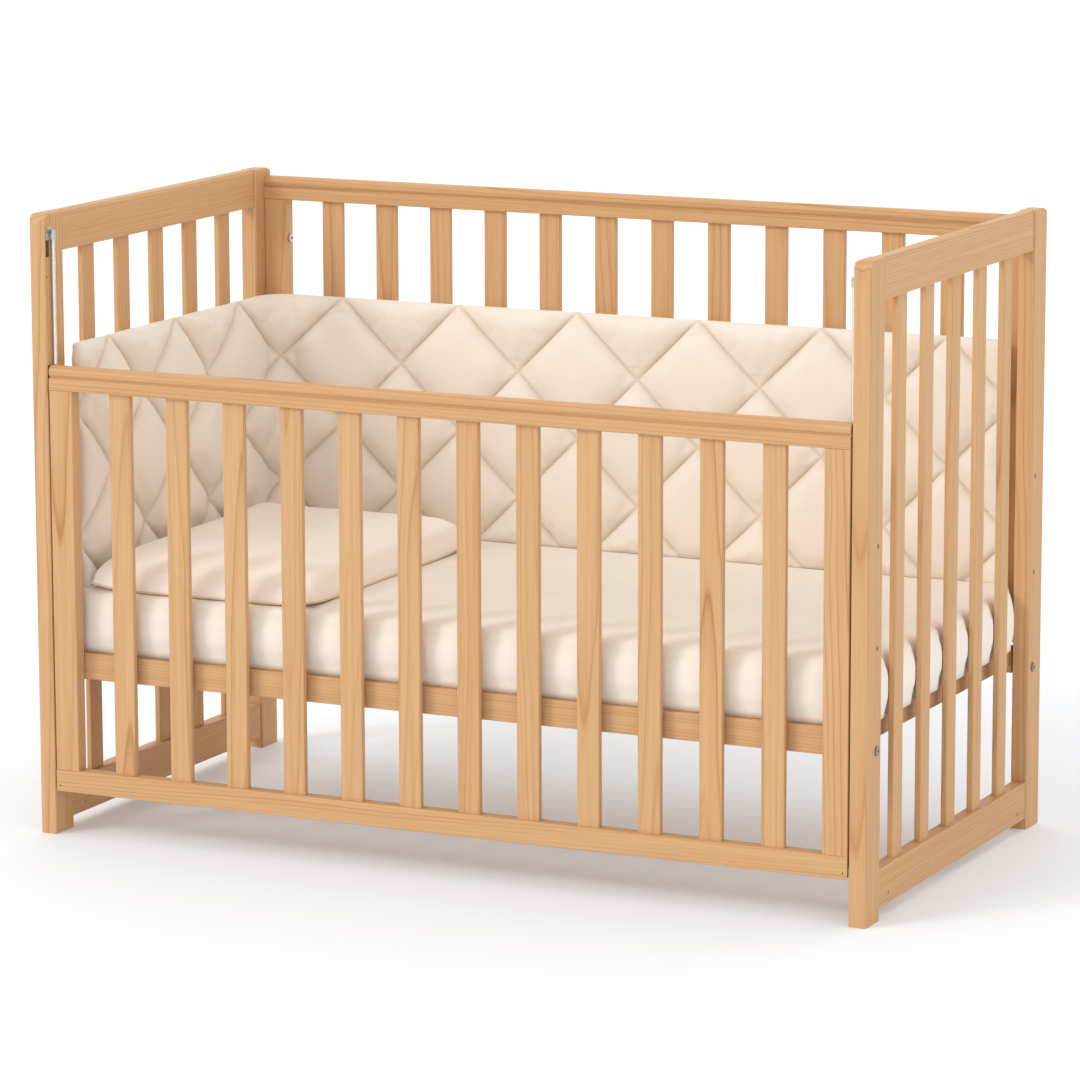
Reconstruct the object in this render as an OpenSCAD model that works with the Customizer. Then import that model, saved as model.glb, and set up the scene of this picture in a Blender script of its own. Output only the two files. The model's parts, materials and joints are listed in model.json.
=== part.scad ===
// Baby crib: two slatted ends, a fixed back panel, a drop side on steel guide rods,
// a slatted mattress base, and its bedding.
// Origin on the floor below the middle of the frame. +X runs along the length and the
// drop side faces -Y. The drop side is modelled at the bottom of its travel.

/* [Frame] */
// Length over the posts, along X
crib_l = 1280; // [1240:10:1400]
// Depth over the posts, along Y
crib_w = 666; // [640:2:760]
// Height of the posts
crib_h = 898; // [860:2:960]
// Thickness of a post, along X
post_t = 25; // [24:0.5:32]
// Width of a post, along Y
post_w = 50; // [48:1:60]
// Radius of a post's outer top corner
post_top_r = 15; // [4:1:20]

/* [Ends] */
// Thickness of the end rails, along X
end_rail_t = 22; // [18:0.5:24]
// Height of the upper end rails
end_top_h = 56.5; // [45:0.5:70]
// Height of the lower end rails
end_low_h = 54; // [45:0.5:70]
// Height of the lower end rails above the floor
end_low_z = 16; // [10:1:40]
// Number of slats in each end
end_slats = 5; // [4:1:5]
// Width of an end slat, along Y
end_slat_w = 33; // [28:1:45]
// Thickness of an end slat, along X
end_slat_t = 9; // [8:0.5:14]

/* [Drop side and back panel] */
// Height of each side panel
panel_h = 618; // [560:2:640]
// Thickness of the panel rails and stiles, along Y
panel_t = 22; // [20:0.5:24]
// Height of the moulded upper rail
panel_top_h = 35; // [32:1:45]
// Height of the lower rail
panel_low_h = 32.5; // [28:0.5:45]
// Width of a stile, along X
stile_w = 37; // [34:1:45]
// Number of slats in each side panel
panel_slats = 12; // [8:1:12]
// Width of a panel slat, along X
panel_slat_w = 34; // [28:1:38]
// Thickness of a panel slat, along Y
panel_slat_t = 10; // [8:0.5:14]
// Height of the drop side's lower edge when it is down
drop_z = 64; // [50:1:80]
// How far the drop side rises
drop_travel = 178; // [120:1:178]
// Height of the fixed back panel's lower edge
back_z = 268; // [266:1:276]

/* [Base] */
// Height of the base rails' lower edge in the lowest position
base_z = 227; // [200:1:240]
// Height of the base side rails
base_h = 38; // [34:1:45]
// Thickness of the base side rails
base_t = 19; // [18:0.5:22]
// Distance between the base's height positions
base_step = 139; // [100:1:150]
// Number of cross slats in the base
base_slats = 10; // [6:1:12]

/* [Bedding] */
// Mattress length
mattress_l = 1230; // [1100:10:1230]
// Mattress width
mattress_w = 600; // [540:2:600]
// Mattress thickness
mattress_h = 90; // [60:5:120]
// Height of the quilted bumper
bumper_h = 355; // [250:5:400]
// Thickness of the quilted bumper
bumper_t = 28; // [15:1:30]
// Pillow size along X
pillow_l = 360; // [300:5:400]
// Pillow size along Y
pillow_w = 490; // [400:10:540]
// Pillow thickness
pillow_h = 60; // [30:2:70]

/* [Hidden] */
$fn = 48;
// A slat's tenon is narrower and thinner than the slat, and its mortise is a little larger.
TENON_IN = 4;
TENON_T = 6;
TENON_L = 8;
MORTISE_GAP = 0.2;

HALF_L = crib_l / 2;
HALF_W = crib_w / 2;
POST_IN = HALF_L - post_t;         // inner face of the posts, on X
END_Y = HALF_W - post_w;           // the end rails run from -END_Y to END_Y
POST_X = HALF_L - post_t / 2;      // middle plane of the posts and ends
DROP_GAP = 2.3;                    // side clearance of the drop side in its posts
FIXED_GAP = 0.3;
POST_CAP_R = 4;                    // rounding of a post's other top edges

// Guide rods, latches and their brackets. Each latch bolt passes in front of its rod.
ROD_R = 3;
ROD_X = POST_IN - 4.7;
ROD_Y = -HALF_W + 15.5;
ROD_BORE_R = 3.6;
ROD_IN_SOCKET = 5;
SOCKET_R = 4.2;
SOCKET_L = 15;
LATCH_R = 3;
LATCH_BORE_R = 3.1;
LATCH_Y = -HALF_W + 7.5;
LATCH_L = 34;
LATCH_THROW = 9;
LATCH_TIP = POST_IN - 2.8;
LATCH_REST_Z = drop_z + panel_h - 12;
LATCH_UP_Z = LATCH_REST_Z + drop_travel;
KNOB_X = LATCH_TIP - 17.2;
KNOB_GAP = 0.8;                    // between the knob and the back of the rail
KNOB_R = 7;
KNOB_L = 10;
STEM_R = 2;
SPRING_TURNS = 6;
SPRING_L = 17;
SPRING_R = 2.2;
SPRING_WIRE_R = 0.5;
STRIKE_SIZE = [1.2, 10, 24];
STRIKE_DEPTH = 11;
PILOT_R = 2;
PILOT_BELOW = 40;                  // from the upper strike pocket down to the pilot hole
BRACKET_T = 1.5;
TAB_T = 3;
TOP_TAB_Z = drop_z + panel_h + drop_travel + 0.6;
FOOT_TAB_Z = drop_z + 0.5;
FOOT_RECESS_H = TAB_T + 0.9;
TAB_W = 8.5;
PLATE_R = 8.5;
PLATE_Y = -HALF_W + 12;
SCREW_Y = -HALF_W + 8.5;
TOP_SCREW_Z = TOP_TAB_Z + 12;
FOOT_SCREW_Z = FOOT_TAB_Z + 13;
SCREW_R = 1.5;
SCREW_L = 14;

// Base, bolts and dowels
BOLT_Y = HALF_W - 33.5;
BOLT_R = 3;
BOLT_HOLE_R = 3.5;
BOLT_HEAD_R = 6.5;
BOLT_HEAD_H = 2.5;
BASE_X = POST_IN - 4;
BASE_BOLT_Z = base_z + 10;
BASE_TOP = base_z + base_h;
NUT_R = 5;
NUT_L = 15;
NUT_X = BASE_X - 26;
BASE_IN_Y = BOLT_Y - base_t / 2;   // inner face of the base side rails
BASE_END_T = 20;
BASE_END_H = 28;
BASE_END_X = BASE_X - 12;
BASE_SLAT_W = 70;
BASE_SLAT_T = 10;
PANEL_BOLT_Z = [68, 524];
RAIL_FLAT_H = 17.5;                // moulding of the panels' upper rails
RAIL_BEAD_R = (panel_top_h - RAIL_FLAT_H) / 2;
RAIL_GROOVE = 3;
STILE_TENON_W = 16;
STILE_TENON_X = 18.5;              // from the stile's outer edge
PANEL_BOLT_L = 56;
DOWEL_R = 4;
DOWEL_IN_POST = 24;
DOWEL_IN_RAIL = 40;
PIN_R = 2.5;
END_BEVEL = 2.4;
PIN_Y = END_Y - 35;
PIN_Z = end_low_z + 15;

MATTRESS_Z = BASE_TOP + 0.3;
MATTRESS_X = POST_X - end_rail_t / 2 - 0.5 - mattress_l / 2;   // its right end reaches the end rails
BUMPER_Z = MATTRESS_Z + mattress_h + 0.3;
BUMPER_X = -POST_IN + 5;           // outer face of the bumper's end run
BUMPER_Y = HALF_W - panel_t - 3;   // outer face of its back run
BUMPER_L = 1204;
BUMPER_W = 595;
BUMPER_CORNER_R = 60;
PILLOW_TURN = 1;
PILLOW_AT = [BUMPER_X + bumper_t + 1 + pillow_l / 2 + pillow_w / 2 * sin(PILLOW_TURN), -48];

function spread(n, pitch) = [for (i = [0 : n - 1]) (i - (n - 1) / 2) * pitch];
END_PITCH = (2 * END_Y + end_slat_w) / (end_slats + 1);
END_SLAT_Y = spread(end_slats, END_PITCH);
PANEL_OPEN = 2 * (POST_IN - DROP_GAP - stile_w);
PANEL_SLAT_X = spread(panel_slats, (PANEL_OPEN + panel_slat_w) / (panel_slats + 1));
BASE_SLAT_X = spread(base_slats, 2 * BASE_X / base_slats);
BASE_HOLES_Z = [for (i = [0 : 2]) BASE_BOLT_Z + i * base_step];

SIDES = [["left", -1], ["right", 1]];
RAIL_DOWEL_Z = [PIN_Z, end_low_z + end_low_h - 15, crib_h - end_top_h + 14, crib_h - 14];

WOOD = [0.87, 0.69, 0.49];
WOOD_DARK = [0.82, 0.63, 0.43];
STEEL = [0.78, 0.78, 0.77];
FABRIC = [0.97, 0.92, 0.85];
FABRIC_DARK = [0.93, 0.87, 0.78];

// ---- Shared shapes ----

// Rectangle with rounded corners, centred.
module round_rect(w, h, r) {
    square([w - 2 * r, h], center = true);
    square([w, h - 2 * r], center = true);
    for (x = [-1, 1], y = [-1, 1]) translate([x * (w / 2 - r), y * (h / 2 - r)]) circle(r);
}

// Extrudes a profile drawn in YZ along X, centred on X.
module along_x(len) rotate([90, 0, 90]) translate([0, 0, -len / 2]) linear_extrude(len) children();

// Extrudes a profile drawn in XZ along Y, centred on Y.
module along_y(len) rotate([90, 0, 0]) translate([0, 0, -len / 2]) linear_extrude(len) children();

// Round bar from one point along an axis.
module rod_x(r, len) rotate([0, 90, 0]) cylinder(r = r, h = len);
module rod_y(r, len) rotate([-90, 0, 0]) cylinder(r = r, h = len);

// Box standing on its own middle, used for tenons and mortises.
module tongue(size) linear_extrude(size[2]) square([size[0], size[1]], center = true);

// Upright slat with soft edges, tenoned at both ends. w runs along X and t along Y.
module slat(w, t, z0, z1) {
    translate([0, 0, z0]) linear_extrude(z1 - z0) round_rect(w, t, 2);
    for (z = [z0 - TENON_L, z1]) translate([0, 0, z]) tongue([w - 2 * TENON_IN, TENON_T, TENON_L]);
}

// The pocket for one end of a slat, above or below z.
module mortise(w, z, up)
    translate([0, 0, up ? z - 1 : z - TENON_L - 0.3])
        tongue([w - 2 * TENON_IN + 2 * MORTISE_GAP, TENON_T + 2 * MORTISE_GAP, TENON_L + 1.3]);

// ---- Posts and ends ----

// Side outline of a front post, with its outer top corner rounded. Drawn in YZ.
module post_outline() {
    translate([-HALF_W, 0]) square([post_w, crib_h - post_top_r]);
    translate([-HALF_W + post_top_r, 0]) square([post_w - post_top_r, crib_h]);
    translate([-HALF_W + post_top_r, crib_h - post_top_r]) circle(post_top_r);
}

// Front right post without its holes, with soft edges up its sides and over its top.
module post_blank() intersection() {
    translate([POST_X, 0, 0]) along_x(post_t) post_outline();
    translate([POST_X, -HALF_W + post_w / 2, 0]) linear_extrude(crib_h) round_rect(post_t, post_w, 2.5);
    translate([POST_X, -HALF_W + post_w / 2, 0]) along_y(post_w + 2) {
        translate([-post_t / 2, 0]) square([post_t, crib_h - POST_CAP_R]);
        translate([-post_t / 2 + POST_CAP_R, 0]) square([post_t - 2 * POST_CAP_R, crib_h]);
        for (x = [-1, 1]) translate([x * (post_t / 2 - POST_CAP_R), crib_h - POST_CAP_R]) circle(POST_CAP_R);
    }
}

// Through holes for the base bolts at each height, and dowel holes for the end rails.
module post_holes() {
    for (z = BASE_HOLES_Z) translate([POST_IN - 1, -BOLT_Y, z]) rod_x(BOLT_HOLE_R, post_t + 2);
    end_dowels(0.1, 1);
}

// Front right post: strike pockets, screw holes for the rod brackets, and a pilot hole.
module post_front() color(WOOD) difference() {
    post_blank();
    post_holes();
    for (z = [LATCH_REST_Z, LATCH_UP_Z])
        translate([POST_IN - 1, LATCH_Y - STRIKE_SIZE[1] / 2, z - STRIKE_SIZE[2] / 2])
            cube([STRIKE_DEPTH + 1, STRIKE_SIZE[1], STRIKE_SIZE[2]]);
    for (z = [TOP_SCREW_Z, FOOT_SCREW_Z]) translate([POST_IN - 1, SCREW_Y, z]) rod_x(SCREW_R + 0.05, SCREW_L + 2);
    translate([POST_IN - 1, -HALF_W + 4.5, LATCH_UP_Z - PILOT_BELOW]) rod_x(PILOT_R, 7);
}

// Back right post: the same, with blind holes for the back panel's bolts.
module post_back() color(WOOD) difference() {
    mirror([0, 1, 0]) post_blank();
    mirror([0, 1, 0]) post_holes();
    for (z = PANEL_BOLT_Z)
        translate([POST_IN - 1, HALF_W - panel_t / 2, back_z + z]) rod_x(BOLT_R + 0.05, 19);
}

// Dowels between the right end's rails and posts; grow and extra make their holes.
module end_dowels(grow, extra) for (m = [0, 1], z = RAIL_DOWEL_Z) mirror([0, m, 0])
    translate([POST_X, END_Y - DOWEL_IN_RAIL - extra / 2, z])
        rod_y(DOWEL_R + grow, DOWEL_IN_RAIL + DOWEL_IN_POST + extra);

// Pins across the lower rail and its lower dowels.
module end_pins(r, len) for (y = [-PIN_Y, PIN_Y]) translate([POST_X - len / 2, y, PIN_Z]) rod_x(r, len);

// Cuts that bevel the ends of a right end rail, so that a fine shadow line shows at each post.
module end_bevels(z, h) for (x = [-1, 1], y = [-1, 1])
    translate([POST_X + x * end_rail_t / 2, y * END_Y, z - 1]) rotate(45)
        linear_extrude(h + 2) square(END_BEVEL * sqrt(2), center = true);

module end_mortises(z, up) for (y = END_SLAT_Y) translate([POST_X, y, 0]) rotate([0, 0, 90]) mortise(end_slat_w, z, up);

// Upper rail of the right end, with both upper edges rounded.
module end_top_rail() color(WOOD_DARK) difference() {
    translate([POST_X, 0, crib_h - end_top_h]) along_y(2 * END_Y) {
        translate([-end_rail_t / 2, 0]) square([end_rail_t, end_top_h - 6]);
        translate([-end_rail_t / 2 + 6, 0]) square([end_rail_t - 12, end_top_h]);
        for (x = [-1, 1]) translate([x * (end_rail_t / 2 - 6), end_top_h - 6]) circle(6);
    }
    end_mortises(crib_h - end_top_h, true);
    end_dowels(0.1, 1);
    end_bevels(crib_h - end_top_h, end_top_h);
}

// Lower rail of the right end, with cross holes for its dowel pins.
module end_low_rail() color(WOOD_DARK) difference() {
    translate([POST_X, 0, end_low_z + end_low_h / 2]) along_y(2 * END_Y) round_rect(end_rail_t, end_low_h, 2);
    end_mortises(end_low_z + end_low_h, false);
    end_dowels(0.1, 1);
    end_pins(PIN_R, end_rail_t + 2);
    end_bevels(end_low_z, end_low_h);
}

module end_slat(y) color(WOOD)
    translate([POST_X, y, 0]) rotate([0, 0, 90])
        slat(end_slat_w, end_slat_t, end_low_z + end_low_h, crib_h - end_top_h);

// ---- Side panels: outer face on y = 0, lower edge on z = 0 ----

// Upper rail's section in YZ: a flat lower half, a shadow groove, and a round bead above it.
module top_rail_section() {
    translate([panel_t / 2, RAIL_FLAT_H / 2]) round_rect(panel_t, RAIL_FLAT_H, 1.5);
    translate([RAIL_GROOVE, RAIL_FLAT_H - 2]) square([panel_t - 2 * RAIL_GROOVE, RAIL_BEAD_R + 2]);
    translate([RAIL_BEAD_R, RAIL_FLAT_H - 2]) square([panel_t - 2 * RAIL_BEAD_R, 2 * RAIL_BEAD_R + 2]);
    for (y = [RAIL_BEAD_R, panel_t - RAIL_BEAD_R]) translate([y, RAIL_FLAT_H + RAIL_BEAD_R]) circle(RAIL_BEAD_R);
}

module panel_mortises(z, up, half) {
    for (x = PANEL_SLAT_X) translate([x, panel_t / 2, 0]) mortise(panel_slat_w, z, up);
    for (x = [-1, 1]) translate([x * (half - STILE_TENON_X), panel_t / 2, 0])
        mortise(STILE_TENON_W + 2 * TENON_IN, z, up);
}

module panel_top_rail(half) difference() {
    translate([0, 0, panel_h - panel_top_h]) along_x(2 * half) top_rail_section();
    panel_mortises(panel_h - panel_top_h, true, half);
}

module panel_low_rail(half) difference() {
    translate([0, panel_t / 2, panel_low_h / 2]) along_x(2 * half) round_rect(panel_t, panel_low_h, 2);
    panel_mortises(panel_low_h, false, half);
}

// Right stile, with tenons placed towards the slats, clear of the guide rod.
module panel_stile(half) {
    translate([half - stile_w / 2, panel_t / 2, panel_low_h])
        linear_extrude(panel_h - panel_top_h - panel_low_h) round_rect(stile_w, panel_t, 1.5);
    for (z = [panel_low_h - TENON_L, panel_h - panel_top_h])
        translate([half - STILE_TENON_X, panel_t / 2, z]) tongue([STILE_TENON_W, TENON_T, TENON_L]);
}

module panel_slat() translate([0, panel_t / 2, 0])
    slat(panel_slat_w, panel_slat_t, panel_low_h, panel_h - panel_top_h);

// ---- Drop side ----

module drop_place() translate([0, -HALF_W, drop_z]) children();
DROP_HALF = POST_IN - DROP_GAP;

// Bores for the rods and, in front of each rod, the latch bolt's bore with a slot for its knob's stem.
module drop_top_rail() color(WOOD) difference() {
    drop_place() panel_top_rail(DROP_HALF);
    for (s = [-1, 1]) {
        translate([s * ROD_X, ROD_Y, drop_z + panel_h - panel_top_h - 1]) cylinder(r = ROD_BORE_R, h = panel_top_h + 2);
        translate([s > 0 ? LATCH_TIP - LATCH_L - SPRING_L - 1 : -DROP_HALF - 1, LATCH_Y, LATCH_REST_Z])
            rod_x(LATCH_BORE_R, DROP_HALF + 2 - (LATCH_TIP - LATCH_L - SPRING_L));
        translate([s * (KNOB_X + LATCH_THROW / 2), LATCH_Y + panel_t / 2, LATCH_REST_Z])
            cube([LATCH_THROW + 2 * STEM_R + 1, panel_t, 2 * STEM_R + 0.6], center = true);
    }
}

// Rod bores, and a recess under each end that drops over the rod's foot bracket.
module drop_low_rail() color(WOOD) difference() {
    drop_place() panel_low_rail(DROP_HALF);
    for (s = [-1, 1]) {
        translate([s * ROD_X, ROD_Y, drop_z]) cylinder(r = ROD_BORE_R, h = panel_low_h + 1);
        translate([s * (ROD_X + 4), -HALF_W + panel_t / 2 + 1.5, drop_z])
            cube([20, panel_t, 2 * FOOT_RECESS_H], center = true);
        translate([s * (ROD_X - 4), -HALF_W - 1, drop_z + 9]) rod_y(1.2, 5);
    }
}

// Right stile of the drop side, grooved along its outer edge for the rod.
module drop_stile() color(WOOD) difference() {
    drop_place() panel_stile(DROP_HALF);
    translate([ROD_X - ROD_BORE_R - 0.5, ROD_Y - ROD_BORE_R - 0.5, drop_z])
        cube([20, 2 * ROD_BORE_R + 1, panel_h]);
}

module drop_slat(x) color(WOOD) drop_place() translate([x, 0, 0]) panel_slat();

// ---- Back panel ----

BACK_HALF = POST_IN - FIXED_GAP;
module back_place() translate([0, HALF_W, back_z]) rotate([0, 0, 180]) children();
module back_top_rail() color(WOOD) back_place() panel_top_rail(BACK_HALF);
module back_low_rail() color(WOOD) back_place() panel_low_rail(BACK_HALF);

// The stile on the right-hand side, bored for its bolts.
module back_stile() color(WOOD) difference() {
    mirror([1, 0, 0]) back_place() panel_stile(BACK_HALF);
    for (z = PANEL_BOLT_Z)
        translate([BACK_HALF - stile_w - 1, HALF_W - panel_t / 2, back_z + z]) rod_x(BOLT_R + 0.3, stile_w + 2);
}

module back_slats() color(WOOD) back_place() for (x = PANEL_SLAT_X) translate([x, 0, 0]) panel_slat();

// ---- Guide rods, brackets and latches ----

module both_ends() {
    children();
    mirror([1, 0, 0]) children();
}

module guide_rods() color(STEEL) both_ends()
    translate([ROD_X, ROD_Y, FOOT_TAB_Z + TAB_T / 2])
        cylinder(r = ROD_R, h = TOP_TAB_Z + ROD_IN_SOCKET - FOOT_TAB_Z - TAB_T / 2);

// Bracket plate against the post, with a rounded upper end. The screw is at height screw_z.
module bracket_plate(z, screw_z) {
    translate([POST_IN - BRACKET_T, PLATE_Y - PLATE_R, z]) cube([BRACKET_T, 2 * PLATE_R, screw_z - z]);
    translate([POST_IN - BRACKET_T, PLATE_Y, screw_z]) rod_x(PLATE_R, BRACKET_T);
}

// Upper bracket: a domed socket holds the rod and stops the drop side at the top.
module top_bracket() difference() {
    union() {
        bracket_plate(TOP_TAB_Z, TOP_SCREW_Z);
        translate([ROD_X, ROD_Y, TOP_TAB_Z]) rotate_extrude()
            polygon([[0, 0], [SOCKET_R, 0], [SOCKET_R, SOCKET_L - 2.5], [SOCKET_R - 1, SOCKET_L - 0.8], [0, SOCKET_L]]);
    }
    translate([ROD_X, ROD_Y, TOP_TAB_Z - 1]) cylinder(r = ROD_R + 0.02, h = ROD_IN_SOCKET + 1);
    translate([POST_IN - 2, SCREW_Y, TOP_SCREW_Z]) rod_x(SCREW_R + 0.1, 3);
}

// Foot bracket: a tab with a blind eye carries the rod. Its screw is countersunk.
module foot_bracket() difference() {
    union() {
        bracket_plate(FOOT_TAB_Z, FOOT_SCREW_Z);
        translate([ROD_X - TAB_W / 2, ROD_Y - TAB_W / 2, FOOT_TAB_Z]) cube([POST_IN - ROD_X + TAB_W / 2, TAB_W, TAB_T]);
    }
    translate([ROD_X, ROD_Y, FOOT_TAB_Z + TAB_T / 2]) cylinder(r = ROD_R + 0.02, h = TAB_T / 2 + 1);
    translate([POST_IN - 2, SCREW_Y, FOOT_SCREW_Z]) rod_x(SCREW_R + 0.1, 3);
    translate([POST_IN - BRACKET_T - 0.01, SCREW_Y, FOOT_SCREW_Z]) rotate([0, 90, 0])
        cylinder(r1 = SCREW_R + 1.61, r2 = SCREW_R + 0.1, h = BRACKET_T + 0.01);
}

module rod_brackets() color(STEEL) both_ends() {
    top_bracket();
    foot_bracket();
}

// Round-headed screws above, countersunk ones behind the drop side.
module bracket_screws() color(STEEL) both_ends() {
    translate([POST_IN - BRACKET_T, SCREW_Y, TOP_SCREW_Z]) {
        difference() {
            translate([-2, 0, 0]) rod_x(2.7, 2);
            for (a = [-45, 45]) translate([-2.5, 0, 0]) rotate([a, 0, 0]) cube([2.2, 3, 0.8], center = true);
        }
        rod_x(SCREW_R, SCREW_L);
    }
    translate([POST_IN - BRACKET_T, SCREW_Y, FOOT_SCREW_Z]) {
        rotate([0, 90, 0]) cylinder(r1 = SCREW_R + 1.45, r2 = SCREW_R, h = BRACKET_T);
        rod_x(SCREW_R, SCREW_L);
    }
}

// Steel angles that line the bottom and the inner side of the latch pockets in the front posts.
module strike_plates() color(STEEL) both_ends() for (z = [LATCH_REST_Z, LATCH_UP_Z])
    translate([POST_IN, LATCH_Y - STRIKE_SIZE[1] / 2 + 0.1, z - STRIKE_SIZE[2] / 2 + 0.1]) {
        translate([STRIKE_DEPTH - STRIKE_SIZE[0], 0, 0])
            cube([STRIKE_SIZE[0], STRIKE_SIZE[1] - 0.2, STRIKE_SIZE[2] - 0.2]);
        translate([0.5, STRIKE_SIZE[1] - 0.2 - STRIKE_SIZE[0], 0])
            cube([STRIKE_DEPTH - 0.5, STRIKE_SIZE[0], STRIKE_SIZE[2] - 0.2]);
    }

// Right latch bolt: rounded nose, and a cross hole for the knob's stem.
module latch_bolt() color(STEEL) difference() {
    translate([LATCH_TIP - LATCH_L, LATCH_Y, LATCH_REST_Z]) rotate([0, 90, 0]) rotate_extrude()
        polygon([[0, 0], [LATCH_R, 0], [LATCH_R, LATCH_L - 2], [LATCH_R - 1.5, LATCH_L], [0, LATCH_L]]);
    translate([KNOB_X, LATCH_Y, LATCH_REST_Z]) rod_y(STEM_R + 0.05, LATCH_R + 1);
}

// Right finger knob behind the rail, with its stem.
module latch_knob() color([0.72, 0.56, 0.38]) translate([KNOB_X, LATCH_Y, LATCH_REST_Z]) rotate([-90, 0, 0])
    rotate_extrude() {
        stem = -HALF_W + panel_t - LATCH_Y + KNOB_GAP;
        polygon([[0, 0], [STEM_R, 0], [STEM_R, stem], [KNOB_R - 2, stem], [KNOB_R - 1, stem + 2],
                 [KNOB_R, stem + KNOB_L - 3], [KNOB_R - 2, stem + KNOB_L], [0, stem + KNOB_L]]);
    }

// Coil spring along X: six-sided wire swept along a helix.
module spring(turns, len, r, wire_r) {
    per_turn = 12;
    sides = 6;
    rings = turns * per_turn;
    points = [for (i = [0 : rings], j = [0 : sides - 1])
        let (a = 360 * i / per_turn, b = 360 * j / sides, q = r + wire_r * cos(b))
            [i * (len - 2 * wire_r) / rings + wire_r + wire_r * sin(b), q * cos(a), q * sin(a)]];
    walls = [for (i = [0 : rings - 1], j = [0 : sides - 1], half = [0, 1])
        let (k = (j + 1) % sides, a = i * sides, b = a + sides)
            half == 0 ? [a + j, a + k, b + k] : [a + j, b + k, b + j]];
    ends = [[for (j = [0 : sides - 1]) sides - 1 - j], [for (j = [0 : sides - 1]) rings * sides + j]];
    polyhedron(points, concat(walls, ends), convexity = 10);
}

module latch_springs() color(STEEL) both_ends()
    translate([LATCH_TIP - LATCH_L - SPRING_L, LATCH_Y, LATCH_REST_Z])
        spring(SPRING_TURNS, SPRING_L - 0.2, SPRING_R, SPRING_WIRE_R);

// ---- Mattress base ----

// Front side rail of the base, with bolt and nut holes in both ends and a mortise for each slat.
module base_rail() color(WOOD) difference() {
    translate([0, -BOLT_Y, base_z + base_h / 2]) along_x(2 * BASE_X) round_rect(base_t, base_h, 2);
    both_ends() {
        translate([NUT_X - 12, -BOLT_Y, BASE_BOLT_Z]) rod_x(BOLT_R + 0.3, BASE_X - NUT_X + 13);
        translate([NUT_X, -BOLT_Y + base_t / 2 - NUT_L - 1, BASE_BOLT_Z]) rod_y(NUT_R + 0.1, NUT_L + 2);
    }
    base_slat_bars(0.2);
    base_end_tenons(0.2);
}

// Cross slats, let flush into the side rails' upper edges; grow makes their notches.
module base_slat_bars(grow) for (x = BASE_SLAT_X)
    translate([x, 0, BASE_TOP - 0.1 - BASE_SLAT_T / 2]) along_y(2 * (BASE_IN_Y + TENON_L + grow))
        square([BASE_SLAT_W + 2 * grow, BASE_SLAT_T + 2 * grow], center = true);

// End rails of the base, outside the first and last slats, with a smaller tenon at each end.
module base_end_tenons(grow) for (s = [-1, 1])
    translate([s * BASE_END_X, 0, BASE_TOP - 11]) along_y(2 * (BASE_IN_Y + TENON_L + grow))
        square([12 + 2 * grow, 12 + 2 * grow], center = true);

module base_slats() color(WOOD_DARK) base_slat_bars(0);
module base_end_rails() color(WOOD_DARK) {
    base_end_tenons(0);
    for (s = [-1, 1]) translate([s * BASE_END_X, 0, BASE_TOP - BASE_END_H / 2])
        along_y(2 * BASE_IN_Y) square([BASE_END_T, BASE_END_H], center = true);
}

// Bolt with its head to -X and a hex socket.
module bolt(len, head_h) difference() {
    union() {
        translate([-head_h, 0, 0]) rod_x(BOLT_HEAD_R, head_h);
        rod_x(BOLT_R, len);
    }
    translate([-head_h - 0.1, 0, 0]) rotate([0, 90, 0]) cylinder(r = 2.3, h = head_h, $fn = 6);
}

module base_bolts() color(STEEL) both_ends() for (y = [-BOLT_Y, BOLT_Y])
    translate([HALF_L, y, BASE_BOLT_Z]) mirror([1, 0, 0]) bolt(HALF_L - NUT_X + 6, BOLT_HEAD_H);

module base_barrel_nuts() color(STEEL) both_ends() for (m = [0, 1]) mirror([0, m, 0])
    difference() {
        translate([NUT_X, -BOLT_Y + base_t / 2 - NUT_L - 0.5, BASE_BOLT_Z]) rod_y(NUT_R, NUT_L);
        translate([NUT_X - NUT_R - 1, -BOLT_Y, BASE_BOLT_Z]) rod_x(BOLT_R + 0.02, 2 * NUT_R + 2);
    }

module back_panel_bolts() color(STEEL) both_ends() for (z = PANEL_BOLT_Z)
    translate([BACK_HALF - stile_w, HALF_W - panel_t / 2, back_z + z]) bolt(PANEL_BOLT_L - 1, 3.5);

module rail_dowels() color([0.80, 0.62, 0.42]) both_ends() difference() {
    end_dowels(0, 0);
    end_pins(PIN_R, end_rail_t);
}

module rail_pins() color(STEEL) both_ends() end_pins(PIN_R - 0.05, end_rail_t - 1);

// ---- Bedding ----

module mattress() color(FABRIC) translate([MATTRESS_X, 0, MATTRESS_Z])
    linear_extrude(mattress_h) round_rect(mattress_l, mattress_w, 40);

module pillow() color(FABRIC) translate([PILLOW_AT[0], PILLOW_AT[1], BUMPER_Z]) rotate([0, 0, PILLOW_TURN])
    linear_extrude(pillow_h) round_rect(pillow_l, pillow_w, 40);

// One long pad that lines the left end and the back, in plan: end run, rounded corner, back run.
module bumper() color(FABRIC_DARK) translate([BUMPER_X, BUMPER_Y, BUMPER_Z])
    linear_extrude(bumper_h) {
        translate([0, -BUMPER_W]) square([bumper_t, BUMPER_W - BUMPER_CORNER_R]);
        translate([BUMPER_CORNER_R, -BUMPER_CORNER_R]) intersection() {
            difference() {
                circle(BUMPER_CORNER_R);
                circle(BUMPER_CORNER_R - bumper_t);
            }
            translate([-BUMPER_CORNER_R, 0]) square(BUMPER_CORNER_R);
        }
        translate([BUMPER_CORNER_R, -bumper_t]) square([BUMPER_L - BUMPER_CORNER_R, bumper_t]);
    }

// ---- Nodes ----

module sided(side) if (side > 0) children(); else mirror([1, 0, 0]) children();

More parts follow.
